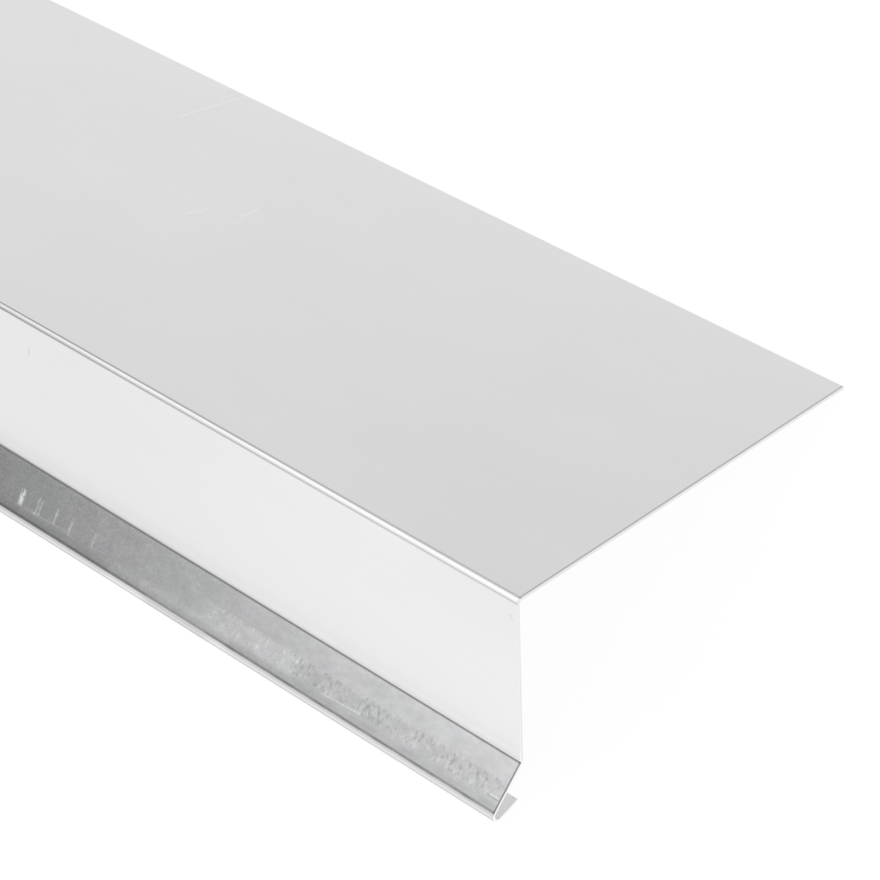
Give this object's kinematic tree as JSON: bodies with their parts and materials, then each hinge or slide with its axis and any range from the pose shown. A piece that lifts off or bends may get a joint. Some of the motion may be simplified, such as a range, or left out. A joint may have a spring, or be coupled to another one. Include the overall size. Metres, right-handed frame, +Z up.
{
  "type": "wall coping",
  "caption": "Folded aluminium wall coping: a wide flange for the wall's top, a front face, and a kicked-out foot folded back into an open drip edge.",
  "frame": {"origin": "on the floor, under the middle of the coping's bounding box, as it lies unheld on its rear edge and its drip edge", "axes": "+X along the length, -Y the side that the front face looks to, +Z up; the flange slopes down towards +Y"},
  "size_m": [1, 0.186, 0.0695],
  "materials": {
    "mill_aluminium": "mill finish, bare rolled sheet, slightly dull, with light handling marks"
  },
  "bodies": {
    "root": {"coping_sheet": "mill_aluminium"}
  },
  "joints": []
}
